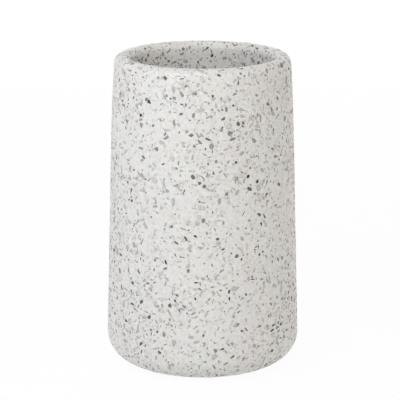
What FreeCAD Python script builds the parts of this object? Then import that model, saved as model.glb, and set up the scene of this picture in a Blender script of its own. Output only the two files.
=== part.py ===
"""Bathroom tumbler cast in terrazzo, standing on a foam pad that is stuck into its underside.

The cup is one casting: a wall that narrows upwards and leans in more above a soft shoulder, a full
round lip, a large round at the foot, and a plain round well whose own draft opens upwards so that the
casting core can be drawn. A shallow recess in the underside holds the pad. A film of adhesive joins the
pad to the recess.

Millimetres, +Z up. The origin is the middle of the face that the tumbler stands on.
"""

import FreeCAD
import Part
import enum
import os
import Sketcher

PARTS_FOLDER = "parts"

# Driving dimensions. A name ending in share is a plain ratio, and every other value is in millimetres.
SIZES = (
    ("overall_height", 115.0, "standing face to the crest of the lip"),
    ("foot_diameter", 72.0, "outer wall carried down to the underside"),
    ("rim_diameter", 64.0, "outer wall carried up to the crest of the lip"),
    ("shoulder_drop", 20.0, "crest of the lip down to the shoulder, where the wall leans in more"),
    ("shoulder_swell", 0.5, "how far the shoulder stands outside a straight wall from foot to rim"),
    ("shoulder_blend", 9.0, "length of wall that bends on either side of the shoulder"),
    ("foot_round", 9.9, "round between the outer wall and the underside"),
    ("rim_wall", 6.0, "thickness of the wall at the lip"),
    ("lip_outer_share", 0.48, "outer round of the lip over the wall at the lip"),
    ("lip_inner_share", 0.46, "inner round of the lip over the wall at the lip"),
    ("well_draft", 1.0, "how much the well's radius shrinks from mouth to floor"),
    ("well_round", 7.0, "cove between the well's wall and its floor"),
    ("floor_thickness", 7.5, "terrazzo left between the pad recess and the well"),
    ("pad_margin", 4.0, "flat ring of underside left round the pad recess"),
    ("pad_thickness", 2.0, "foam pad"),
    ("pad_stand", 0.6, "how far the pad stands out below the underside"),
    ("pad_edge_share", 0.5, "round of the pad's lower edge over its stand"),
    ("pad_clearance", 0.3, "gap round the pad in its recess"),
    ("film_thickness", 0.15, "adhesive film between the pad and the recess"),
    ("recess_chamfer_share", 0.25, "chamfer at the recess mouth over the recess depth"),
)

# Sizes that follow from the driving ones: each is worked out once, in the sheet.
DERIVED_SIZES = (
    ("foot_radius", "=foot_diameter / 2", "outer wall at the underside"),
    ("rim_radius", "=rim_diameter / 2", "outer wall at the crest of the lip"),
    ("wall_height", "=overall_height - pad_stand", "underside to the crest of the lip"),
    ("wall_lean_share", "=(foot_radius - rim_radius) / wall_height", "lean of a straight wall"),
    (
        "shoulder_radius",
        "=rim_radius + shoulder_drop * wall_lean_share + shoulder_swell",
        "corner of the shoulder",
    ),
    ("shoulder_height", "=overall_height - shoulder_drop", "height of that corner"),
    ("mouth_radius", "=rim_radius - rim_wall", "well's wall at the crest of the lip"),
    ("well_radius", "=mouth_radius - well_draft", "well's wall at its floor"),
    ("recess_ceiling", "=pad_thickness + film_thickness", "height of the recess ceiling"),
    ("recess_depth", "=recess_ceiling - pad_stand", "underside to the recess ceiling"),
    ("well_floor", "=recess_ceiling + floor_thickness", "height of the well's floor"),
    ("recess_radius", "=foot_radius - foot_round - pad_margin", "wall of the pad recess"),
    ("pad_radius", "=recess_radius - pad_clearance", "pad and adhesive film"),
)

# Sketcher's own numbers: a curve's points count from one, and a sketch's own two axes are below zero.
# The level axis starts at the sketch's origin.
CurvePoint = enum.IntEnum("CurvePoint", "START END CENTRE")
LEVEL_AXIS_INDEX = -1
UPRIGHT_AXIS_INDEX = -2

# How far an edge may lie from the place it is looked for, as a share of its radius.
EDGE_TOLERANCE_SHARE = 1e-7


def make_sheet(doc):
    """The spreadsheet that holds every size, one row each: name, value and meaning."""
    sheet = doc.addObject("Spreadsheet::Sheet", "sizes")
    for row, (name, value, meaning) in enumerate(SIZES + DERIVED_SIZES, start=1):
        sheet.set(f"A{row}", name)
        sheet.set(f"B{row}", str(value))
        sheet.set(f"C{row}", meaning)
        sheet.setAlias(f"B{row}", name)
    doc.recompute()
    return sheet


def new_body(doc, label):
    """An empty body whose name and label are those of its sub-part."""
    body = doc.addObject("PartDesign::Body", label)
    body.Label = label
    return body


def new_sketch(body, name, plane_role):
    """A sketch on one of the body's own origin planes."""
    plane = next(p for p in body.Origin.OriginFeatures if p.Role == plane_role)
    sketch = body.newObject("Sketcher::SketchObject", name)
    sketch.AttachmentSupport = (plane, [""])
    sketch.MapMode = "FlatFace"
    return sketch


def bind(sketch, name, constraint, formula):
    """Adds a named constraint and ties its value to the sheet."""
    index = sketch.addConstraint(constraint)
    sketch.renameConstraint(index, name)
    sketch.setExpression(f"Constraints.{name}", formula)


def ring_edge(feature, radius, height):
    """The name of the feature's full circle of that radius at that height about the Z axis."""
    for number, edge in enumerate(feature.Shape.Edges, start=1):
        if not isinstance(edge.Curve, Part.Circle):
            continue
        wrong_radius = abs(edge.Curve.Radius - radius)
        wrong_height = abs(edge.Curve.Center.z - height)
        if max(wrong_radius, wrong_height) < radius * EDGE_TOLERANCE_SHARE:
            return f"Edge{number}"
    raise ValueError(f"{feature.Name} has no circle of radius {radius} at height {height}")


def round_edge(doc, body, name, radius, height, formula):
    """Fillets one ring edge of the body's last feature."""
    base = body.Tip
    fillet = body.newObject("PartDesign::Fillet", name)
    fillet.Base = (base, [ring_edge(base, radius, height)])
    fillet.setExpression("Radius", formula)
    doc.recompute()
    return fillet


def place_corner(sketch, sizes, curve, direction, name, size):
    """Holds the start of a curve at a distance from the sketch's origin, across or up."""
    distance = Sketcher.Constraint(
        direction,
        LEVEL_AXIS_INDEX,
        CurvePoint.START,
        curve,
        CurvePoint.START,
        getattr(sizes, size),
    )
    bind(sketch, name, distance, f"sizes.{size}")


def shoulder_corner(sizes):
    """The corner where the wall's two straight lengths would meet."""
    return FreeCAD.Vector(sizes.shoulder_radius, sizes.shoulder_height, 0)


def section_corners(sizes):
    """The corners of the cup's half section, in order round it from the middle of the underside."""
    foot = FreeCAD.Vector(sizes.foot_radius, sizes.pad_stand, 0)
    shoulder = shoulder_corner(sizes)
    rim = FreeCAD.Vector(sizes.rim_radius, sizes.overall_height, 0)
    return {
        "underside_middle": FreeCAD.Vector(0, sizes.pad_stand, 0),
        "foot": foot,
        "bend_start": shoulder + (foot - shoulder).normalize() * sizes.shoulder_blend,
        "bend_end": shoulder + (rim - shoulder).normalize() * sizes.shoulder_blend,
        "rim": rim,
        "mouth": FreeCAD.Vector(sizes.mouth_radius, sizes.overall_height, 0),
        "well_edge": FreeCAD.Vector(sizes.well_radius, sizes.well_floor, 0),
        "well_middle": FreeCAD.Vector(0, sizes.well_floor, 0),
    }


def shoulder_bend(corners, sizes):
    """The arc that touches the wall's two straight lengths where the bend starts and ends."""
    start = corners["bend_start"]
    end = corners["bend_end"]
    half_chord = (end - start).Length / 2
    middle = (start + end) / 2
    crest_share = half_chord / (half_chord + sizes.shoulder_blend)
    return Part.Arc(start, middle + (shoulder_corner(sizes) - middle) * crest_share, end)


def hold_bend(sketch, sizes, curves):
    """Ties the bend to the shoulder corner, which both straight lengths of the wall run through."""
    corner = sketch.addGeometry(Part.Point(shoulder_corner(sizes)), True)
    place_corner(sketch, sizes, corner, "DistanceX", "shoulder_across", "shoulder_radius")
    place_corner(sketch, sizes, corner, "DistanceY", "shoulder_up", "shoulder_height")
    for straight in ("foot", "bend_end"):
        sketch.addConstraint(
            Sketcher.Constraint("PointOnObject", corner, CurvePoint.START, curves[straight])
        )
    reach = Sketcher.Constraint(
        "Distance",
        corner,
        CurvePoint.START,
        curves["bend_start"],
        CurvePoint.START,
        sizes.shoulder_blend,
    )
    bind(sketch, "shoulder_reach", reach, "sizes.shoulder_blend")


def half_section(sketch, sizes):
    """The cup's half section, with its wall bent at the shoulder: the rounds follow as features."""
    corners = section_corners(sizes)
    points = list(corners.values())
    curves = {}
    for name, start, end in zip(corners, points, points[1:] + points[:1]):
        bends = name == "bend_start"
        curve = shoulder_bend(corners, sizes) if bends else Part.LineSegment(start, end)
        curves[name] = sketch.addGeometry(curve)
    names = list(corners)
    for name, following in zip(names, names[1:] + names[:1]):
        joint = "Tangent" if following in ("bend_start", "bend_end") else "Coincident"
        sketch.addConstraint(
            Sketcher.Constraint(
                joint, curves[name], CurvePoint.END, curves[following], CurvePoint.START
            )
        )
    for level in ("underside_middle", "rim", "well_edge"):
        sketch.addConstraint(Sketcher.Constraint("Horizontal", curves[level]))
    for on_axis in ("underside_middle", "well_middle"):
        sketch.addConstraint(
            Sketcher.Constraint(
                "PointOnObject", curves[on_axis], CurvePoint.START, UPRIGHT_AXIS_INDEX
            )
        )
    across = {
        "foot": "foot_radius",
        "rim": "rim_radius",
        "mouth": "mouth_radius",
        "well_edge": "well_radius",
    }
    for corner, size in across.items():
        place_corner(sketch, sizes, curves[corner], "DistanceX", f"{corner}_across", size)
    up = {"foot": "pad_stand", "rim": "overall_height", "well_edge": "well_floor"}
    for corner, size in up.items():
        place_corner(sketch, sizes, curves[corner], "DistanceY", f"{corner}_up", size)
    hold_bend(sketch, sizes, curves)


def disc_outline(sketch, sizes, radius):
    """One circle about the Z axis, with its radius tied to the sheet."""
    circle = sketch.addGeometry(
        Part.Circle(FreeCAD.Vector(), FreeCAD.Vector(0, 0, 1), getattr(sizes, radius))
    )
    sketch.addConstraint(
        Sketcher.Constraint(
            "Coincident", circle, CurvePoint.CENTRE, LEVEL_AXIS_INDEX, CurvePoint.START
        )
    )
    size = Sketcher.Constraint("Radius", circle, getattr(sizes, radius))
    bind(sketch, "outline_radius", size, f"sizes.{radius}")


def make_tumbler_body(doc, sizes):
    """The terrazzo casting: a turned cup with rounded lip, foot and well, and the pad recess below."""
    body = new_body(doc, "tumbler_body")

    section = new_sketch(body, "cup_half_section", "XZ_Plane")
    half_section(section, sizes)
    cup = body.newObject("PartDesign::Revolution", "cup")
    cup.Profile = section
    cup.ReferenceAxis = (section, ["V_Axis"])
    cup.Angle = 360
    doc.recompute()

    round_edge(doc, body, "foot_round", sizes.foot_radius, sizes.pad_stand, "sizes.foot_round")
    round_edge(doc, body, "well_cove", sizes.well_radius, sizes.well_floor, "sizes.well_round")
    round_edge(
        doc,
        body,
        "lip_outer_round",
        sizes.rim_radius,
        sizes.overall_height,
        "sizes.lip_outer_share * sizes.rim_wall",
    )
    round_edge(
        doc,
        body,
        "lip_inner_round",
        sizes.mouth_radius,
        sizes.overall_height,
        "sizes.lip_inner_share * sizes.rim_wall",
    )

    outline = new_sketch(body, "recess_outline", "XY_Plane")
    disc_outline(outline, sizes, "recess_radius")
    outline.setExpression("AttachmentOffset.Base.z", "sizes.pad_stand")
    doc.recompute()
    solid_volume = body.Shape.Volume
    recess = body.newObject("PartDesign::Pocket", "pad_recess")
    recess.Profile = outline
    recess.Reversed = True
    recess.setExpression("Length", "sizes.recess_depth")
    doc.recompute()
    if not body.Shape.Volume < solid_volume:
        raise ValueError("the pad recess cut nothing from the underside")

    mouth = ring_edge(recess, sizes.recess_radius, sizes.pad_stand)
    chamfer = body.newObject("PartDesign::Chamfer", "recess_chamfer")
    chamfer.Base = (recess, [mouth])
    chamfer.setExpression("Size", "sizes.recess_chamfer_share * sizes.recess_depth")
    doc.recompute()
    return body


def make_foot_pad(doc, sizes):
    """The foam disc that the tumbler stands on, with its lower edge eased."""
    body = new_body(doc, "foot_pad")
    outline = new_sketch(body, "pad_outline", "XY_Plane")
    disc_outline(outline, sizes, "pad_radius")
    disc = body.newObject("PartDesign::Pad", "pad_disc")
    disc.Profile = outline
    disc.setExpression("Length", "sizes.pad_thickness")
    doc.recompute()
    round_edge(
        doc, body, "pad_edge_round", sizes.pad_radius, 0, "sizes.pad_edge_share * sizes.pad_stand"
    )
    return body


def make_pad_adhesive(doc):
    """The film of adhesive between the pad's top face and the recess ceiling."""
    film = doc.addObject("Part::Cylinder", "pad_adhesive")
    film.Label = "pad_adhesive"
    film.setExpression("Radius", "sizes.pad_radius")
    film.setExpression("Height", "sizes.film_thickness")
    film.setExpression("Placement.Base.z", "sizes.pad_thickness")
    doc.recompute()
    return film


def check(doc, sub_parts):
    """Stops the build if any object failed to recompute or any sub-part isn't a sound solid."""
    doc.recompute()
    for item in doc.Objects:
        if {"Invalid", "Error"} & set(item.State):
            raise ValueError(f"{item.Name} failed: {item.State}")
    for part in sub_parts:
        shape = part.Shape
        if shape.isNull() or not shape.isValid() or not shape.Solids:
            raise ValueError(f"{part.Label} isn't a sound solid")


def main():
    doc = FreeCAD.newDocument("tumbler")
    sizes = make_sheet(doc)
    sub_parts = [
        make_tumbler_body(doc, sizes),
        make_foot_pad(doc, sizes),
        make_pad_adhesive(doc),
    ]
    check(doc, sub_parts)
    os.makedirs(PARTS_FOLDER, exist_ok=True)
    for part in sub_parts:
        part.Shape.exportStep(os.path.join(PARTS_FOLDER, f"{part.Label}.step"))
        print(part.Label, round(part.Shape.Volume, 1), "mm3", part.Shape.BoundBox)


main()
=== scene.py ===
"""Looks of a bathroom tumbler cast in terrazzo.

The cup is turned from its half section. Stone chips of nine minerals lie flush in its skin, each one a thin
solid that follows the curve it sits in. A soft foam pad fills the recess below, held by a film of adhesive.
Metres, with +Z up along the axis of the cup.
"""

import itertools
import math

import bpy
from mathutils import Matrix, Vector


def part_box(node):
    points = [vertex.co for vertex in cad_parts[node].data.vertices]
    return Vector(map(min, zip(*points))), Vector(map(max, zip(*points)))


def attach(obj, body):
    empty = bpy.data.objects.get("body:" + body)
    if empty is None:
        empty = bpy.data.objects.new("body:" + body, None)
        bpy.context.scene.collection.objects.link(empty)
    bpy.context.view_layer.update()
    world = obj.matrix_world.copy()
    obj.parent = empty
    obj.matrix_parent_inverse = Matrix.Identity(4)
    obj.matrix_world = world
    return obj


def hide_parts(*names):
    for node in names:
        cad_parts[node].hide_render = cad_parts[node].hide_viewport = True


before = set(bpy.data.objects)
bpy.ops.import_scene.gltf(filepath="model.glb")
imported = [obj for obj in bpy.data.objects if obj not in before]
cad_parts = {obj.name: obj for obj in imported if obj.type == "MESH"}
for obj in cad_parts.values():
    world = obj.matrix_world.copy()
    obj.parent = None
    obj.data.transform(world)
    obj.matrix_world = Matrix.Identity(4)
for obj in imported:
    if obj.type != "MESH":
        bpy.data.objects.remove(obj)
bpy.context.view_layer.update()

body_low, body_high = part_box("tumbler_body")
pad_low, pad_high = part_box("foot_pad")
_, film_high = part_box("pad_adhesive")

# Sizes of the cup
CUP_TOP = body_high.z
UNDERSIDE = body_low.z
RIM_RADIUS = 0.0320
FOOT_RADIUS = 0.0360
FOOT_ROUND = 0.0099
SHOULDER_DROP = 0.0200
SHOULDER_SWELL = 0.0005
SHOULDER_BLEND = 0.0090
RIM_WALL = 0.0060
LIP_OUTER_SHARE = 0.48
LIP_INNER_SHARE = 0.46
WELL_DRAFT = 0.0010
WELL_ROUND = 0.0070
FLOOR_THICKNESS = 0.0075
PAD_CLEARANCE = 0.0003
RECESS_CHAMFER_SHARE = 0.25
SHARP_ROUND = 0.00012

# The shoulder stands a little outside a straight wall, and its round takes up the blend on either side
WALL_LEAN = (FOOT_RADIUS - RIM_RADIUS) / (CUP_TOP - UNDERSIDE)
SHOULDER_RADIUS = RIM_RADIUS + SHOULDER_DROP * WALL_LEAN + SHOULDER_SWELL
SHOULDER_HEIGHT = CUP_TOP - SHOULDER_DROP
LEAN_ABOVE = math.atan2(SHOULDER_RADIUS - RIM_RADIUS, SHOULDER_DROP)
LEAN_BELOW = math.atan2(FOOT_RADIUS - SHOULDER_RADIUS, SHOULDER_HEIGHT - UNDERSIDE)
SHOULDER_ROUND = SHOULDER_BLEND / math.tan((LEAN_ABOVE - LEAN_BELOW) / 2)

MOUTH_RADIUS = RIM_RADIUS - RIM_WALL
WELL_RADIUS = MOUTH_RADIUS - WELL_DRAFT
RECESS_CEILING = film_high.z
WELL_FLOOR = RECESS_CEILING + FLOOR_THICKNESS
RECESS_RADIUS = pad_high.x + PAD_CLEARANCE
RECESS_CHAMFER = RECESS_CHAMFER_SHARE * (RECESS_CEILING - UNDERSIDE)

# Corners of the cup's half section, with radius, height and round. They run from the floor of the well over
# the lip and round the foot to the recess
CUP_CORNERS = {
    "floor middle": (0.0, WELL_FLOOR, 0.0),
    "floor edge": (WELL_RADIUS, WELL_FLOOR, WELL_ROUND),
    "mouth": (MOUTH_RADIUS, CUP_TOP, LIP_INNER_SHARE * RIM_WALL),
    "rim": (RIM_RADIUS, CUP_TOP, LIP_OUTER_SHARE * RIM_WALL),
    "shoulder": (SHOULDER_RADIUS, SHOULDER_HEIGHT, SHOULDER_ROUND),
    "foot": (FOOT_RADIUS, UNDERSIDE, FOOT_ROUND),
    "chamfer foot": (RECESS_RADIUS + RECESS_CHAMFER, UNDERSIDE, SHARP_ROUND),
    "chamfer top": (RECESS_RADIUS, UNDERSIDE + RECESS_CHAMFER, SHARP_ROUND),
    "recess corner": (RECESS_RADIUS, RECESS_CEILING, SHARP_ROUND),
    "recess middle": (0.0, RECESS_CEILING, 0.0),
}

# The foam pad, with sides that swell a little between its pressed faces
PAD_SWELL = 0.00012
PAD_TOP_ROUND = 0.00020
PAD_EDGE_ROUND = 0.00050
PAD_BELLY_ROUND = 0.00150
PAD_CORNERS = {
    "top middle": (0.0, pad_high.z, 0.0),
    "top edge": (pad_high.x - PAD_SWELL, pad_high.z, PAD_TOP_ROUND),
    "belly": (pad_high.x, (pad_low.z + pad_high.z) / 2, PAD_BELLY_ROUND),
    "sole edge": (pad_high.x - PAD_SWELL, pad_low.z, PAD_EDGE_ROUND),
    "sole middle": (0.0, pad_low.z, 0.0),
}

# Blank that every stone chip is cut from, one unit in radius and in depth
CHIP_CORNERS = {
    "face middle": (0.0, 0.0, 0.0),
    "face ring": (0.6, 0.0, 0.0),
    "face edge": (1.0, 0.0, 0.0),
    "root": (0.0, -1.0, 0.0),
}
# Faces whose middle is below this belong to the blank's root, which is shaded flat
CHIP_FACE_LIMIT = -0.25
# Longer than any edge of the blank, and farther than any of its cuts
CHIP_REACH = 1.5

# Straight cuts round a blank: how far each may sway within its part of the round, how near and how far from
# the middle they run, and how shallow they may meet the edge
CHIP_CUTS = 5
CHIP_CUT_SWAY = 0.9
CHIP_NEAREST_CUT = 0.42
CHIP_FARTHEST_CUT = 1.0
CHIP_SHALLOWEST_CUT = 0.08

# Steps of the turned meshes: how many round the axis, and the longest one on straight lengths and on rounds
CUP_STEPS = {"steps round": 192, "longest step": 0.0022, "round step": 0.0008}
PAD_STEPS = {"steps round": 128, "longest step": 0.0020, "round step": 0.00008}
CHIP_STEPS = {"steps round": 12, "longest step": CHIP_REACH, "round step": CHIP_REACH}
EXTRA_ROUND_STEPS = 2.0
MOST_ROUND_STEPS = 16.0
SEAM_GAP = 1e-6

# Beds of chips: coarse ones all over, fine ones outside and others inside the well. Each bed has the least
# spacing, the most chips to a square metre, the half lengths of its smallest and largest chips, and its
# paleness: how far along the minerals, which start with the dark ones, its chips are drawn
CHIP_SIZES = {
    "coarse spacing": 0.0022,
    "coarse density": 50000.0,
    "coarse smallest": 0.00090,
    "coarse largest": 0.00145,
    "coarse paleness": 1.0,
    "fine spacing": 0.00073,
    "fine density": 650000.0,
    "fine smallest": 0.00044,
    "fine largest": 0.00117,
    "fine paleness": 1.0,
    "inner spacing": 0.00065,
    "inner density": 1050000.0,
    "inner smallest": 0.00040,
    "inner largest": 0.00105,
    "inner paleness": 0.36,
    # Room kept round a coarse chip
    "clearance": 0.0014,
    # Crowded places to a metre, and the share of the chips that is left between them
    "crowd pitch": 55.0,
    "sparsest": 0.40,
    # Width of a chip against its length
    "slimmest": 0.20,
    "fullest": 0.85,
    # Rise of a chip's face above the skin, and depth of its root
    "least proud": 0.000015,
    "most proud": 0.000045,
    "root depth": 0.00025,
    # Where the well and the recess begin
    "well radius": MOUTH_RADIUS + LIP_INNER_SHARE * RIM_WALL / 2,
    "recess radius": RECESS_RADIUS + RECESS_CHAMFER,
    "recess height": RECESS_CEILING + RECESS_CHAMFER,
}
CHIP_SEED = 8
# Reach of the noise over which the chips go from sparsest to most crowded
CROWD_REACH = 0.15

# Minerals of the chips: share of all chips, size against the others, deepest and palest colour
MINERALS = {
    "charcoal": (0.032, 1.00, (0.038, 0.034, 0.031), (0.115, 0.104, 0.096)),
    "dark_slate": (0.070, 1.00, (0.110, 0.105, 0.100), (0.220, 0.210, 0.199)),
    "slate": (0.076, 1.00, (0.215, 0.206, 0.195), (0.325, 0.311, 0.294)),
    "grey": (0.120, 1.00, (0.330, 0.316, 0.299), (0.430, 0.412, 0.390)),
    "ash_grey": (0.120, 1.00, (0.430, 0.412, 0.391), (0.530, 0.509, 0.484)),
    "pale_grey": (0.300, 1.05, (0.510, 0.489, 0.470), (0.630, 0.605, 0.583)),
    "faint_grey": (0.220, 1.10, (0.630, 0.605, 0.584), (0.720, 0.694, 0.671)),
    "white": (0.035, 0.90, (0.850, 0.832, 0.808), (0.900, 0.884, 0.864)),
    "sand": (0.012, 0.80, (0.500, 0.425, 0.335), (0.640, 0.580, 0.495)),
}

# Noise: layers of a broad and of a fine pattern, its middle, and how far to either side most patterns use it
BROAD_LAYERS = 3.0
FINE_LAYERS = 2.0
NOISE_MIDDLE = 0.5
NOISE_REACH = 0.2

# Drifts of hue: shift of red, green and blue at either end of a drift that is one deep
COOL_SHIFT = (-0.7, 0.0, 0.7)
WARM_SHIFT = (1.2, 0.0, -1.2)
PINK_SHIFT = (0.0, -1.4, 0.0)
GREEN_SHIFT = (0.0, 1.0, 0.0)
GREEN_PITCH_SHARE = 0.6

# Finish of the binder. A pitch is counted to a metre, and a share says how much of a layer shows
BINDER_DEEP = (0.724, 0.701, 0.677, 1.0)
BINDER_PALE = (0.870, 0.845, 0.821, 1.0)
BINDER_GLOSSIEST = 0.27
BINDER_DULLEST = 0.36
BINDER_SPECULAR = 0.3
BINDER_HUE_PITCH = 150.0
BINDER_HUE_DEPTH = 0.014
MOTTLE_PITCH = 900.0
MOTTLE_REACH = 0.18
CLOUD_PITCH = 45.0
CLOUD_SHARE = 0.30
CLOUD_COLOUR = (0.837, 0.811, 0.789, 1.0)
GRIT_PITCH = 2200.0
GRIT_SHARE = 0.15
GRIT_COLOUR = (0.700, 0.681, 0.661, 1.0)
GRIT_BUMP = 0.12
GRIT_HEIGHT = 0.00006

# Small chips buried in the binder, and dark specks. Core and edge are measured in cells of their pattern, and
# a cell whose draw is below the least one is empty
BURIED_PITCH = 620.0
BURIED_CORE = 0.24
BURIED_EDGE = 0.38
BURIED_LEAST_DRAW = 0.55
BURIED_SHARE = 0.35
BURIED_COLOUR = (0.520, 0.511, 0.500, 1.0)
SPECK_PITCH = 1150.0
SPECK_EDGE = 0.2
SPECK_LEAST_DRAW = 0.82
SPECK_SHARE = 0.6
SPECK_COLOUR = (0.300, 0.298, 0.292, 1.0)

# Finish of the chips. Their patterns lie on a sheet of the mineral, one unit wide, and a chip's half length
# takes up a small share of it
CHIP_SHEET_SHARE = 0.02
TONE_PITCH = 9.0
TONE_REACH = 0.22
GRAIN_PITCH = 140.0
GRAIN_SHARE = 0.3
STONE_HUE_PITCH = 12.0
STONE_HUE_DEPTH = 0.040
STONE_ROUGHNESS = 0.45
STONE_SPECULAR = 0.08

# Finish of the foam
FOAM_DEEP = (0.560, 0.552, 0.535, 1.0)
FOAM_PALE = (0.660, 0.652, 0.635, 1.0)
FOAM_ROUGHNESS = 0.85
FOAM_CLOUD_PITCH = 180.0
PORE_PITCH = 2400.0
PORE_EDGE = 0.35
PORE_SHARE = 0.45
PORE_COLOUR = (0.330, 0.325, 0.315, 1.0)
PORE_BUMP = 0.5
PORE_DEPTH = 0.0001

# Finish of the film
FILM_DEEP = (0.720, 0.705, 0.660, 1.0)
FILM_PALE = (0.780, 0.770, 0.735, 1.0)
FILM_GLOSSIEST = 0.35
FILM_DULLEST = 0.5
FILM_CLOUD_PITCH = 160.0
BUBBLE_PITCH = 900.0
BUBBLE_CORE = 0.05
BUBBLE_EDGE = 0.2
BUBBLE_SHARE = 0.4
BUBBLE_COLOUR = (0.850, 0.845, 0.820, 1.0)

# Camera, fitted to the outline of the object in the photograph
PHOTO_SIDE = 400
SENSOR_WIDTH = 36.0
FOCAL_PIXELS = 1872.4
CENTRE_PIXEL_X = 202.58
CENTRE_PIXEL_Y = 207.30
CAMERA_DISTANCE = 0.695
CAMERA_ELEVATION = math.radians(14.82)
CUP_MIDDLE = Vector((0.0, 0.0, CUP_TOP / 2))

# Stage. The floor has one colour as it lights the cup and one as it is seen, mostly as plain white
FLOOR_SIDE = 8.0
FLOOR_HEIGHT = -0.00005
FLOOR_COLOUR = (0.88, 0.88, 0.88, 1.0)
FLOOR_SEEN_COLOUR = (0.95, 0.95, 0.95, 1.0)
FLOOR_WHITE_SHARE = 0.957
AMBIENT = 0.210
WHITE = (1.0, 1.0, 1.0, 1.0)

# Lamps: place, width, power and tint
COOL_TINT = (0.897, 0.962, 1.000)
PLAIN_TINT = (1.000, 1.000, 1.000)
WARM_TINT = (1.000, 0.998, 0.925)
LAMPS = {
    "left lamp": ((-0.20, -0.20, 0.28), 0.16, 0.225, COOL_TINT),
    "left side lamp": ((-0.20, -0.16, 0.14), 0.20, 0.088, COOL_TINT),
    "left front lamp": ((-0.35, -0.75, 0.70), 0.50, 2.26, PLAIN_TINT),
    "low left lamp": ((-0.55, -0.70, 0.06), 0.30, 0.67, COOL_TINT),
    "right lamp": ((0.95, -0.60, 0.45), 0.90, 4.32, WARM_TINT),
    "top lamp": ((-0.10, 0.10, 1.30), 0.80, 2.60, PLAIN_TINT),
    "back lamp": ((-0.50, 0.60, 0.60), 0.60, 0.50, PLAIN_TINT),
    "back fill": ((0.00, 0.95, 0.20), 0.60, 4.20, PLAIN_TINT),
}
LAMPS_WITHOUT_HIGHLIGHT = ("back fill",)


def open_socket(sockets, name):
    """First socket of that name which the node's settings leave in use."""
    return next(socket for socket in sockets if socket.name == name and socket.enabled)


class Wire:
    """What flows from one node to the next. A sum with it adds the node that works it out."""

    def __init__(self, wiring, socket):
        self.wiring = wiring
        self.socket = socket

    def __add__(self, other):
        return self.wiring.maths("ADD", self, other)

    def __sub__(self, other):
        return self.wiring.maths("SUBTRACT", self, other)

    def __rsub__(self, other):
        return self.wiring.maths("SUBTRACT", other, self)

    def __mul__(self, other):
        return self.wiring.maths("MULTIPLY", self, other)

    def __truediv__(self, other):
        return self.wiring.maths("DIVIDE", self, other)

    def __mod__(self, other):
        return self.wiring.maths("FLOORED_MODULO", self, other)

    def __lt__(self, other):
        return self.wiring.maths("LESS_THAN", self, other)

    def __gt__(self, other):
        return self.wiring.maths("GREATER_THAN", self, other)


class Wiring:
    """Adds nodes to one tree and joins them."""

    def __init__(self, tree):
        self.tree = tree

    def feed(self, socket, value):
        """Joins a wire to the socket, or sets the socket to a plain value."""
        if isinstance(value, Wire):
            self.tree.links.new(value.socket, socket)
        else:
            socket.default_value = value

    def node(self, kind, inputs=None, **settings):
        """A new node with its settings and inputs."""
        node = self.tree.nodes.new(kind)
        for setting, value in settings.items():
            setattr(node, setting, value)
        for name, value in (inputs or {}).items():
            self.feed(open_socket(node.inputs, name), value)
        return node

    def outs(self, kind, outputs, inputs=None, **settings):
        """Wires from several outputs of a new node."""
        node = self.node(kind, inputs, **settings)
        return [Wire(self, open_socket(node.outputs, output)) for output in outputs]

    def out(self, kind, output, inputs=None, **settings):
        """A wire from one output of a new node."""
        return self.outs(kind, [output], inputs, **settings)[0]

    def worked_out(self, kind, operation, values):
        """A wire from a new node that works something out from the values, in their order."""
        node = self.node(kind, operation=operation)
        for socket, value in zip(node.inputs, values):
            self.feed(socket, value)
        return Wire(self, next(socket for socket in node.outputs if socket.enabled))

    def maths(self, operation, *values):
        return self.worked_out("ShaderNodeMath", operation, values)

    def vectors(self, operation, *values):
        return self.worked_out("ShaderNodeVectorMath", operation, values)

    def choose(self, data_type, index, values):
        """The value whose place in the list is the index."""
        node = self.node("GeometryNodeIndexSwitch", {"Index": index}, data_type=data_type)
        while len(node.index_switch_items) < len(values):
            node.index_switch_items.new()
        for place, value in enumerate(values):
            self.feed(node.inputs[str(place)], value)
        return Wire(self, node.outputs["Output"])

    def store(self, geometry, name, value, data_type="FLOAT", domain="POINT"):
        """The geometry with a value kept on it by name."""
        inputs = {"Geometry": geometry, "Name": name, "Value": value}
        settings = {"data_type": data_type, "domain": domain}
        return self.out("GeometryNodeStoreNamedAttribute", "Geometry", inputs, **settings)

    def stored(self, name, data_type="FLOAT"):
        """A value that was kept by name."""
        return self.out("GeometryNodeInputNamedAttribute", "Attribute", {"Name": name}, data_type=data_type)

    def blend(self, share, first, second, blend_type="MIX"):
        """Two colours mixed by a share of the second."""
        inputs = {"Factor": share, "A": first, "B": second}
        return self.out("ShaderNodeMix", "Result", inputs, data_type="RGBA", blend_type=blend_type)

    def spread(self, value, low, high, to_low=0.0, to_high=1.0):
        """The value moved from one range to another, and held there."""
        inputs = {"Value": value, "From Min": low, "From Max": high, "To Min": to_low, "To Max": to_high}
        return self.out("ShaderNodeMapRange", "Result", inputs)


def new_tree(name, inputs):
    """An empty geometry tree with its wiring, and a wire from each named input."""
    tree = bpy.data.node_groups.new(name, "GeometryNodeTree")
    tree.interface.new_socket("Geometry", in_out="OUTPUT", socket_type="NodeSocketGeometry")
    tree.interface.new_socket("Geometry", in_out="INPUT", socket_type="NodeSocketGeometry")
    for title, socket_type in inputs.items():
        tree.interface.new_socket(title, in_out="INPUT", socket_type=socket_type)
    wires = Wiring(tree)
    group_input = wires.node("NodeGroupInput")
    given = {socket.name: Wire(wires, socket) for socket in group_input.outputs if socket.name}
    return tree, wires, given


def end_tree(wires, geometry, material):
    """The last nodes of a tree, which leave one plain mesh of the material."""
    geometry = wires.out("GeometryNodeRealizeInstances", "Geometry", {"Geometry": geometry})
    inputs = {"Geometry": geometry, "Material": material}
    geometry = wires.out("GeometryNodeSetMaterial", "Geometry", inputs)
    wires.node("NodeGroupOutput", {"Geometry": geometry})


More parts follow.
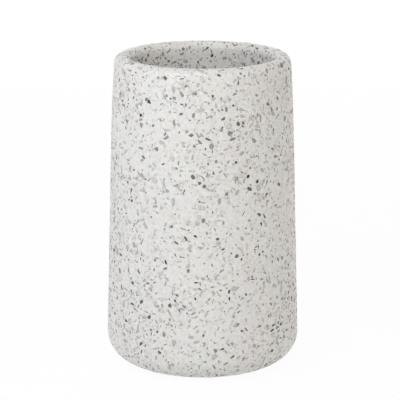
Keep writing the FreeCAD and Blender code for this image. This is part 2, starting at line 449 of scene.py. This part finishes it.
def grown_piece(name, tree, settings, ground=None):
    """A piece with the plain mesh that the tree makes, on the ground mesh where the tree needs one."""
    piece = bpy.data.objects.new(name, ground or bpy.data.meshes.new(name))
    bpy.context.scene.collection.objects.link(piece)
    modifier = piece.modifiers.new(tree.name, "NODES")
    modifier.node_group = tree
    for socket in tree.interface.items_tree:
        if socket.name in settings:
            modifier[socket.identifier] = settings[socket.name]
    graph = bpy.context.evaluated_depsgraph_get()
    mesh = bpy.data.meshes.new_from_object(piece.evaluated_get(graph))
    piece.modifiers.remove(modifier)
    mesh.name = name
    piece.data = mesh
    return piece


def corner_sizes(corners):
    """The sizes of a half section's corners, by the names of the tree's inputs."""
    sizes = {}
    for corner, (radius, height, turn) in corners.items():
        sizes[f"{corner} radius"] = radius
        sizes[f"{corner} height"] = height
        sizes[f"{corner} round"] = turn
    return sizes


def half_section(wires, given, corners):
    """Points of the half section, with its rounds, in short steps. Each keeps how far along it lies."""
    index = wires.out("GeometryNodeInputIndex", "Index")
    position = wires.out("GeometryNodeInputPosition", "Position")
    places = []
    for corner in corners:
        parts = {"X": given[f"{corner} radius"], "Z": given[f"{corner} height"]}
        places.append(wires.out("ShaderNodeCombineXYZ", "Vector", parts))
    section = wires.out("GeometryNodeMeshLine", "Mesh", {"Count": len(corners)})
    inputs = {"Geometry": section, "Position": wires.choose("VECTOR", index, places)}
    section = wires.out("GeometryNodeSetPosition", "Geometry", inputs)
    section = wires.out("GeometryNodeMeshToCurve", "Curve", {"Mesh": section})
    turn = wires.choose("FLOAT", index, [given[f"{corner} round"] for corner in corners])
    bends = wires.maths("CEIL", turn / given["round step"]) + EXTRA_ROUND_STEPS
    inputs = {"Curve": section, "Radius": turn, "Count": wires.maths("MINIMUM", bends, MOST_ROUND_STEPS)}
    section = wires.out("GeometryNodeFilletCurve", "Curve", inputs, mode="POLY")
    inputs = {"Value": position, "Index": index + 1.0}
    settings = {"data_type": "FLOAT_VECTOR", "domain": "POINT"}
    following = wires.out("GeometryNodeFieldAtIndex", "Value", inputs, **settings)
    run = wires.vectors("DISTANCE", position, following)
    inputs = {"Curve": section, "Cuts": wires.maths("FLOOR", run / given["longest step"])}
    section = wires.out("GeometryNodeSubdivideCurve", "Curve", inputs)
    section = wires.store(section, "along", wires.out("GeometryNodeSplineParameter", "Factor"))
    return wires.out("GeometryNodeCurveToPoints", "Points", {"Curve": section}, mode="EVALUATED")


def turned_tree(name, corners):
    """A closed solid turned about Z. Each corner of its half section has a radius, a height and a round."""
    inputs = {size: "NodeSocketFloat" for size in corner_sizes(corners)}
    inputs["steps round"] = "NodeSocketInt"
    inputs["longest step"] = "NodeSocketFloat"
    inputs["round step"] = "NodeSocketFloat"
    inputs["material"] = "NodeSocketMaterial"
    tree, wires, given = new_tree(name, inputs)
    section = half_section(wires, given, corners)

    # A grid with a row for each point of the section, wrapped round the axis and closed
    index = wires.out("GeometryNodeInputIndex", "Index")
    position = wires.out("GeometryNodeInputPosition", "Position")
    inputs = {"Geometry": section}
    rows = wires.out("GeometryNodeAttributeDomainSize", "Point Count", inputs, component="POINTCLOUD")
    steps = given["steps round"]
    grid = wires.out("GeometryNodeMeshGrid", "Mesh", {"Vertices X": steps + 1.0, "Vertices Y": rows})
    turn_share = wires.maths("FLOOR", index / rows) / steps
    inputs = {"Geometry": section, "Value": position, "Index": index % rows}
    point = wires.out("GeometryNodeSampleIndex", "Value", inputs, data_type="FLOAT_VECTOR")
    radius, height = wires.outs("ShaderNodeSeparateXYZ", ("X", "Z"), {"Vector": point})
    angle = turn_share * -math.tau
    x = radius * wires.maths("COSINE", angle)
    y = radius * wires.maths("SINE", angle)
    place = wires.out("ShaderNodeCombineXYZ", "Vector", {"X": x, "Y": y, "Z": height})
    solid = wires.out("GeometryNodeSetPosition", "Geometry", {"Geometry": grid, "Position": place})
    inputs = {"Geometry": section, "Value": wires.stored("along"), "Index": index % rows}
    along_share = wires.out("GeometryNodeSampleIndex", "Value", inputs)
    unrolled = wires.out("ShaderNodeCombineXYZ", "Vector", {"X": turn_share, "Y": along_share})
    solid = wires.store(solid, "OFBake", unrolled, data_type="FLOAT2", domain="CORNER")
    inputs = {"Geometry": solid, "Distance": SEAM_GAP}
    solid = wires.out("GeometryNodeMergeByDistance", "Geometry", inputs)
    inputs = {"Geometry": solid, "Shade Smooth": True}
    solid = wires.out("GeometryNodeSetShadeSmooth", "Geometry", inputs)
    end_tree(wires, solid, given["material"])
    return tree


class Chance:
    """Numbers drawn by chance in one tree, each by a seed of its own."""

    def __init__(self, wires, seed):
        self.wires = wires
        self.seed = seed
        self.draws = itertools.count()

    def next_seed(self):
        return self.seed + float(next(self.draws))

    def drawn(self, low, high, item):
        """A number drawn for each item."""
        inputs = {"Min": low, "Max": high, "ID": item, "Seed": self.next_seed()}
        return self.wires.out("FunctionNodeRandomValue", "Value", inputs, data_type="FLOAT")


def chip_bed(wires, given, chance):
    """Places of all chips: coarse ones first, fine ones between them, others inside the well."""
    index = wires.out("GeometryNodeInputIndex", "Index")
    position = wires.out("GeometryNodeInputPosition", "Position")
    x, y, z = wires.outs("ShaderNodeSeparateXYZ", ("X", "Y", "Z"), {"Vector": position})
    off_axis = wires.maths("SQRT", x * x + y * y)
    crowding = patches(wires, position, given["crowd pitch"], FINE_LAYERS, CROWD_REACH, given["sparsest"])
    in_recess = (z < given["recess height"]) * (off_axis < given["recess radius"])
    shown = 1.0 - in_recess
    in_well = shown * (off_axis < given["well radius"]) * (z > given["recess height"])
    grounds = {"coarse": shown, "fine": shown - in_well, "inner": in_well}
    beds = []
    for grade, ground in grounds.items():
        inputs = {
            "Mesh": given["Geometry"],
            "Selection": ground,
            "Distance Min": given[f"{grade} spacing"],
            "Density Max": given[f"{grade} density"],
            "Density Factor": crowding,
            "Seed": chance.next_seed(),
        }
        bed, tilt = wires.outs("GeometryNodeDistributePointsOnFaces", ("Points", "Rotation"), inputs,
                               distribute_method="POISSON")
        bed = wires.store(bed, "tilt", tilt, data_type="QUATERNION")
        bed = wires.store(bed, "paleness", given[f"{grade} paleness"])
        draw = chance.drawn(0.0, 1.0, index)
        size = wires.spread(draw * draw, 0.0, 1.0, given[f"{grade} smallest"], given[f"{grade} largest"])
        beds.append(wires.store(bed, "half length", size))
    coarse, *others = beds
    inputs = {"Geometry": coarse, "Sample Position": position}
    gap = wires.out("GeometryNodeProximity", "Distance", inputs, target_element="POINTS")
    join = wires.node("GeometryNodeJoinGeometry")
    for bed in others:
        inputs = {"Geometry": bed, "Selection": gap < given["clearance"]}
        wires.feed(join.inputs["Geometry"], wires.out("GeometryNodeDeleteGeometry", "Geometry", inputs))
    wires.feed(join.inputs["Geometry"], coarse)
    bed = Wire(wires, join.outputs["Geometry"])
    bed = wires.store(bed, "chip", index, data_type="INT")
    return wires.store(bed, "middle", position, data_type="FLOAT_VECTOR")


def mineral_bed(wires, given, chance, bed, chip):
    """The places that one mineral draws. The other minerals draw the rest."""
    draw = chance.drawn(0.0, wires.stored("paleness"), chip)
    other = (draw < given["first draw"]) + (1.0 - (draw < given["last draw"]))
    return wires.out("GeometryNodeDeleteGeometry", "Geometry", {"Geometry": bed, "Selection": other})


def blank_chips(wires, given, chance, bed, chip):
    """A flat blank at each place of the bed, turned and sized by chance."""
    position = wires.out("GeometryNodeInputPosition", "Position")
    turned = wires.node("GeometryNodeGroup", node_tree=turned_tree("chip blank", CHIP_CORNERS))
    for name, value in (corner_sizes(CHIP_CORNERS) | CHIP_STEPS).items():
        wires.feed(turned.inputs[name], value)
    blank = Wire(wires, turned.outputs["Geometry"])
    blank = wires.store(blank, "blank", position, data_type="FLOAT_VECTOR")
    inputs = {"Angle": chance.drawn(0.0, math.tau, chip)}
    spin = wires.out("FunctionNodeAxisAngleToRotation", "Rotation", inputs)
    inputs = {"Rotation": wires.stored("tilt", "QUATERNION"), "Rotate By": spin}
    rotation = wires.out("FunctionNodeRotateRotation", "Rotation", inputs, rotation_space="LOCAL")
    half_length = wires.stored("half length") * given["mineral size"]
    half_width = half_length * chance.drawn(given["slimmest"], given["fullest"], chip)
    scale = wires.out("ShaderNodeCombineXYZ", "Vector", {"X": half_length, "Y": half_width})
    inputs = {"Points": bed, "Instance": blank, "Rotation": rotation, "Scale": scale}
    chips = wires.out("GeometryNodeInstanceOnPoints", "Instances", inputs)
    return wires.out("GeometryNodeRealizeInstances", "Geometry", {"Geometry": chips})


def broken_reach(wires, chance, chip, bearing):
    """How far a chip reaches at a bearing, within the straight cuts that give its broken outline."""
    reach = CHIP_REACH
    for cut in range(CHIP_CUTS):
        facing = (chance.drawn(0.0, CHIP_CUT_SWAY, chip) + float(cut)) * (math.tau / CHIP_CUTS)
        slope = wires.maths("MAXIMUM", wires.maths("COSINE", bearing - facing), CHIP_SHALLOWEST_CUT)
        away = chance.drawn(CHIP_NEAREST_CUT, CHIP_FARTHEST_CUT, chip)
        reach = wires.maths("MINIMUM", reach, away / slope)
    return reach


def laid_chips(wires, given, chips, reach, rise):
    """The chips, cut to their reach and laid on the skin of the cup with a rise above it."""
    cup = given["Geometry"]
    position = wires.out("GeometryNodeInputPosition", "Position")
    middle = wires.stored("middle", "FLOAT_VECTOR")
    offset = wires.vectors("MULTIPLY", wires.vectors("SUBTRACT", position, middle), reach)
    flat = wires.vectors("ADD", middle, offset)
    inputs = {"Geometry": cup, "Sample Position": flat}
    on_skin = wires.out("GeometryNodeProximity", "Position", inputs, target_element="FACES")
    inputs = {"Mesh": cup, "Value": wires.out("GeometryNodeInputNormal", "Normal"), "Sample Position": flat}
    normal = wires.out("GeometryNodeSampleNearestSurface", "Value", inputs, data_type="FLOAT_VECTOR")
    place = wires.vectors("ADD", on_skin, wires.vectors("MULTIPLY", normal, rise))
    return wires.out("GeometryNodeSetPosition", "Geometry", {"Geometry": chips, "Position": place})


def chip_tree():
    """Stone chips of one mineral, let into the skin of a cup."""
    inputs = {size: "NodeSocketFloat" for size in CHIP_SIZES}
    inputs["first draw"] = "NodeSocketFloat"
    inputs["last draw"] = "NodeSocketFloat"
    inputs["mineral size"] = "NodeSocketFloat"
    inputs["seed"] = "NodeSocketInt"
    inputs["material"] = "NodeSocketMaterial"
    tree, wires, given = new_tree("stone chips", inputs)
    chance = Chance(wires, given["seed"])
    chip = wires.stored("chip", "INT")
    bed = chip_bed(wires, given, chance)
    bed = mineral_bed(wires, given, chance, bed, chip)
    chips = blank_chips(wires, given, chance, bed, chip)

    # Each blank is cut and laid, a hair proud of the skin and with its root below
    blank = wires.stored("blank", "FLOAT_VECTOR")
    across, along, down = wires.outs("ShaderNodeSeparateXYZ", ("X", "Y", "Z"), {"Vector": blank})
    reach = broken_reach(wires, chance, chip, wires.maths("ARCTAN2", along, across))
    proud = chance.drawn(given["least proud"], given["most proud"], chip)
    chips = laid_chips(wires, given, chips, reach, proud + down * given["root depth"])

    # Each chip comes from its own place on its mineral's sheet
    parts = {
        "X": chance.drawn(0.0, 1.0, chip) + across * reach * CHIP_SHEET_SHARE,
        "Y": chance.drawn(0.0, 1.0, chip) + along * reach * CHIP_SHEET_SHARE,
    }
    sheet = wires.out("ShaderNodeCombineXYZ", "Vector", parts)
    chips = wires.store(chips, "OFBake", sheet, data_type="FLOAT2", domain="CORNER")
    inputs = {"Geometry": chips, "Selection": down < CHIP_FACE_LIMIT, "Shade Smooth": False}
    chips = wires.out("GeometryNodeSetShadeSmooth", "Geometry", inputs)
    for name in ("tilt", "paleness", "half length", "chip", "middle", "blank"):
        chips = wires.out("GeometryNodeRemoveAttribute", "Geometry", {"Geometry": chips, "Name": name})
    end_tree(wires, chips, given["material"])
    return tree


def new_material(name):
    """A material with its wiring and its shader."""
    material = bpy.data.materials.new(name)
    material.use_nodes = True
    return material, Wiring(material.node_tree), material.node_tree.nodes["Principled BSDF"]


def noise(wires, place, pitch, layers):
    """A soft chance pattern from 0 to 1, mostly near its middle."""
    return wires.out("ShaderNodeTexNoise", "Fac", {"Vector": place, "Scale": pitch, "Detail": layers})


def patches(wires, place, pitch, layers, reach=NOISE_REACH, low=0.0, high=1.0):
    """Noise that is spread from low to high, as far as the reach on either side of its middle."""
    value = noise(wires, place, pitch, layers)
    return wires.spread(value, NOISE_MIDDLE - reach, NOISE_MIDDLE + reach, low, high)


def grains(wires, place, pitch, channel):
    """Grains strewn through a piece: the distance from the nearest one, and a number drawn for it."""
    inputs = {"Vector": place, "Scale": pitch}
    distance, cell = wires.outs("ShaderNodeTexVoronoi", ("Distance", "Color"), inputs)
    return distance, wires.out("ShaderNodeSeparateColor", channel, {"Color": cell})


def tint(shift, depth):
    """White with its red, green and blue shifted."""
    return (*(1.0 + depth * part for part in shift), 1.0)


def tinged(wires, colour, place, pitch, depth):
    """The colour with two slow drifts of hue: from cool to warm, and from pink to green."""
    warmth = patches(wires, place, pitch, BROAD_LAYERS)
    warmth = wires.blend(warmth, tint(COOL_SHIFT, depth), tint(WARM_SHIFT, depth))
    greenness = patches(wires, place, GREEN_PITCH_SHARE * pitch, BROAD_LAYERS)
    greenness = wires.blend(greenness, tint(PINK_SHIFT, depth), tint(GREEN_SHIFT, depth))
    colour = wires.blend(1.0, colour, warmth, "MULTIPLY")
    return wires.blend(1.0, colour, greenness, "MULTIPLY")


def add_bump(wires, shader, height, strength, distance):
    """Fine relief on the shader."""
    inputs = {"Height": height, "Strength": strength, "Distance": distance}
    wires.feed(shader.inputs["Normal"], wires.out("ShaderNodeBump", "Normal", inputs))


def binder_material():
    """Pale cast binder: slow clouding, fine grit, and small chips that show faintly through its skin."""
    material, wires, shader = new_material("terrazzo binder")
    place = wires.out("ShaderNodeTexCoord", "Object")
    clouds = patches(wires, place, CLOUD_PITCH, BROAD_LAYERS)
    mottle = patches(wires, place, MOTTLE_PITCH, BROAD_LAYERS, MOTTLE_REACH)
    grit = patches(wires, place, GRIT_PITCH, FINE_LAYERS)
    colour = wires.blend(mottle, BINDER_DEEP, BINDER_PALE)
    colour = wires.blend(clouds * CLOUD_SHARE, colour, CLOUD_COLOUR)
    colour = wires.blend(grit * GRIT_SHARE, colour, GRIT_COLOUR)
    colour = tinged(wires, colour, place, BINDER_HUE_PITCH, BINDER_HUE_DEPTH)
    distance, draw = grains(wires, place, BURIED_PITCH, "Red")
    buried = wires.spread(distance, BURIED_CORE, BURIED_EDGE, 1.0, 0.0)
    buried = buried * wires.spread(draw, BURIED_LEAST_DRAW, 1.0)
    colour = wires.blend(buried * BURIED_SHARE, colour, BURIED_COLOUR)
    distance, draw = grains(wires, place, SPECK_PITCH, "Green")
    speck = (distance < SPECK_EDGE) * (draw > SPECK_LEAST_DRAW)
    colour = wires.blend(speck * SPECK_SHARE, colour, SPECK_COLOUR)
    wires.feed(shader.inputs["Base Color"], colour)
    roughness = wires.spread(clouds + grit, 0.0, 2.0, BINDER_GLOSSIEST, BINDER_DULLEST)
    wires.feed(shader.inputs["Roughness"], roughness)
    shader.inputs["Specular IOR Level"].default_value = BINDER_SPECULAR
    add_bump(wires, shader, grit, GRIT_BUMP, GRIT_HEIGHT)
    return material


def mineral_material(name, deep, pale):
    """One mineral's sheet: tones that differ from place to place, with a fine grain."""
    material, wires, shader = new_material(f"{name} chip stone")
    sheet = wires.out("ShaderNodeUVMap", "UV", uv_map="OFBake")
    tone = patches(wires, sheet, TONE_PITCH, FINE_LAYERS, TONE_REACH)
    grain = patches(wires, sheet, GRAIN_PITCH, FINE_LAYERS)
    colour = wires.blend(tone, (*deep, 1.0), (*pale, 1.0))
    colour = wires.blend(grain * GRAIN_SHARE, colour, (*pale, 1.0))
    colour = tinged(wires, colour, sheet, STONE_HUE_PITCH, STONE_HUE_DEPTH)
    wires.feed(shader.inputs["Base Color"], colour)
    shader.inputs["Roughness"].default_value = STONE_ROUGHNESS
    shader.inputs["Specular IOR Level"].default_value = STONE_SPECULAR
    return material


def foam_material():
    """Closed-cell foam: a fine field of pores in a pale grey skin."""
    material, wires, shader = new_material("closed-cell foam")
    place = wires.out("ShaderNodeTexCoord", "Object")
    pores = wires.out("ShaderNodeTexVoronoi", "Distance", {"Vector": place, "Scale": PORE_PITCH})
    clouds = noise(wires, place, FOAM_CLOUD_PITCH, BROAD_LAYERS)
    colour = wires.blend(clouds, FOAM_DEEP, FOAM_PALE)
    colour = wires.blend(wires.spread(pores, 0.0, PORE_EDGE, PORE_SHARE, 0.0), colour, PORE_COLOUR)
    wires.feed(shader.inputs["Base Color"], colour)
    shader.inputs["Roughness"].default_value = FOAM_ROUGHNESS
    add_bump(wires, shader, pores, PORE_BUMP, PORE_DEPTH)
    return material


def adhesive_material():
    """Pressure-sensitive film: cloudy off-white with small trapped bubbles."""
    material, wires, shader = new_material("adhesive film")
    place = wires.out("ShaderNodeTexCoord", "Object")
    clouds = noise(wires, place, FILM_CLOUD_PITCH, BROAD_LAYERS)
    bubbles = wires.out("ShaderNodeTexVoronoi", "Distance", {"Vector": place, "Scale": BUBBLE_PITCH})
    bubbles = wires.spread(bubbles, BUBBLE_CORE, BUBBLE_EDGE, BUBBLE_SHARE, 0.0)
    colour = wires.blend(clouds, FILM_DEEP, FILM_PALE)
    wires.feed(shader.inputs["Base Color"], wires.blend(bubbles, colour, BUBBLE_COLOUR))
    gloss = {"low": FILM_GLOSSIEST, "high": FILM_DULLEST}
    wires.feed(shader.inputs["Roughness"], patches(wires, place, FILM_CLOUD_PITCH, BROAD_LAYERS, **gloss))
    return material


def finish_piece(piece, node=None):
    """Hangs a piece from the fixed body, and hides the frame's solid that it stands for, where there is one.
    """
    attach(piece, "root")
    if node:
        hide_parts(node)


def turned_piece(name, corners, steps, material):
    """A piece turned from the corners of its half section."""
    sizes = corner_sizes(corners) | steps | {"material": material}
    return grown_piece(name, turned_tree(f"turned {name}", corners), sizes)


def build_cup():
    cup = turned_piece("terrazzo_cup", CUP_CORNERS, CUP_STEPS, binder_material())
    finish_piece(cup, "tumbler_body")
    return cup


def build_chips(cup):
    """One piece for the chips of each mineral. The minerals share out the draws from 0 to 1."""
    tree = chip_tree()
    total = sum(share for share, *_ in MINERALS.values())
    first_draw = 0.0
    for mineral, (share, size, deep, pale) in MINERALS.items():
        last_draw = first_draw + share / total
        sizes = CHIP_SIZES | {
            "first draw": first_draw,
            "last draw": last_draw,
            "mineral size": size,
            "seed": CHIP_SEED,
            "material": mineral_material(mineral, deep, pale),
        }
        chips = grown_piece(f"{mineral}_chips", tree, sizes, cup.data.copy())
        finish_piece(chips)
        first_draw = last_draw


def build_pad():
    pad = turned_piece("foam_pad", PAD_CORNERS, PAD_STEPS, foam_material())
    finish_piece(pad, "foot_pad")


def dress_film():
    """The film stays the frame's own solid and gets its finish."""
    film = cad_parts["pad_adhesive"]
    film.material_slots[0].material = adhesive_material()


def seen_directly(wires):
    """One for rays that show a surface as it is: to the camera, in a reflection or through glass."""
    rays = ("Is Camera Ray", "Is Glossy Ray", "Is Transmission Ray")
    camera, glossy, through = wires.outs("ShaderNodeLightPath", rays)
    return wires.maths("MAXIMUM", camera, wires.maths("MAXIMUM", glossy, through))


def floor_material():
    """Pale matte floor that is seen as almost white and keeps the object's shadow."""
    material, wires, shader = new_material("pale floor")
    wires.tree.nodes.remove(shader)
    seen = seen_directly(wires)
    colour = wires.blend(seen, FLOOR_COLOUR, FLOOR_SEEN_COLOUR)
    matte = wires.out("ShaderNodeBsdfDiffuse", "BSDF", {"Color": colour})
    plain_white = wires.out("ShaderNodeEmission", "Emission", {"Strength": 1.0})
    mix = wires.node("ShaderNodeMixShader", {"Fac": seen * FLOOR_WHITE_SHARE})
    wires.feed(mix.inputs[1], matte)
    wires.feed(mix.inputs[2], plain_white)
    wires.feed(wires.tree.nodes["Material Output"].inputs["Surface"], Wire(wires, mix.outputs["Shader"]))
    return material


def build_floor():
    """A wide level floor under the object."""
    half = FLOOR_SIDE / 2
    corners = [(x, y, FLOOR_HEIGHT) for x, y in ((-half, -half), (half, -half), (half, half), (-half, half))]
    mesh = bpy.data.meshes.new("floor")
    mesh.from_pydata(corners, [], [(0, 1, 2, 3)])
    mesh.materials.append(floor_material())
    floor = bpy.data.objects.new("floor", mesh)
    bpy.context.scene.collection.objects.link(floor)


def build_world():
    """Even ambient light, with a white surround where it is seen directly."""
    world = bpy.data.worlds.new("studio")
    world.use_nodes = True
    bpy.context.scene.world = world
    wires = Wiring(world.node_tree)
    strength = wires.spread(seen_directly(wires), 0.0, 1.0, AMBIENT, 1.0)
    background = world.node_tree.nodes["Background"]
    background.inputs["Color"].default_value = WHITE
    wires.feed(background.inputs["Strength"], strength)


def aimed(place, target):
    """Placement of something that looks from its place at the target."""
    turn = (target - place).to_track_quat("-Z", "Y")
    return Matrix.Translation(place) @ turn.to_matrix().to_4x4()


def build_lamps():
    """Soft round lamps, aimed at the middle of the cup."""
    for name, (place, width, power, tint_colour) in LAMPS.items():
        light = bpy.data.lights.new(name, "AREA")
        light.shape = "DISK"
        light.size = width
        light.energy = power
        light.color = tint_colour
        lamp = bpy.data.objects.new(name, light)
        lamp.matrix_world = aimed(Vector(place), CUP_MIDDLE)
        lamp.visible_glossy = name not in LAMPS_WITHOUT_HIGHLIGHT
        bpy.context.scene.collection.objects.link(lamp)


def build_camera():
    """The camera, placed and framed as it was for the photograph."""
    lens = bpy.data.cameras.new("camera")
    lens.sensor_width = SENSOR_WIDTH
    lens.lens = SENSOR_WIDTH * FOCAL_PIXELS / PHOTO_SIDE
    lens.shift_x = (PHOTO_SIDE / 2 - CENTRE_PIXEL_X) / PHOTO_SIDE
    lens.shift_y = (CENTRE_PIXEL_Y - PHOTO_SIDE / 2) / PHOTO_SIDE
    camera = bpy.data.objects.new("camera", lens)
    back = Vector((0.0, -math.cos(CAMERA_ELEVATION), math.sin(CAMERA_ELEVATION)))
    camera.matrix_world = aimed(CUP_MIDDLE + back * CAMERA_DISTANCE, CUP_MIDDLE)
    bpy.context.scene.collection.objects.link(camera)
    bpy.context.scene.camera = camera


cup = build_cup()
build_chips(cup)
build_pad()
dress_film()
build_floor()
build_world()
build_lamps()
build_camera()
bpy.context.scene.view_settings.view_transform = "Standard"
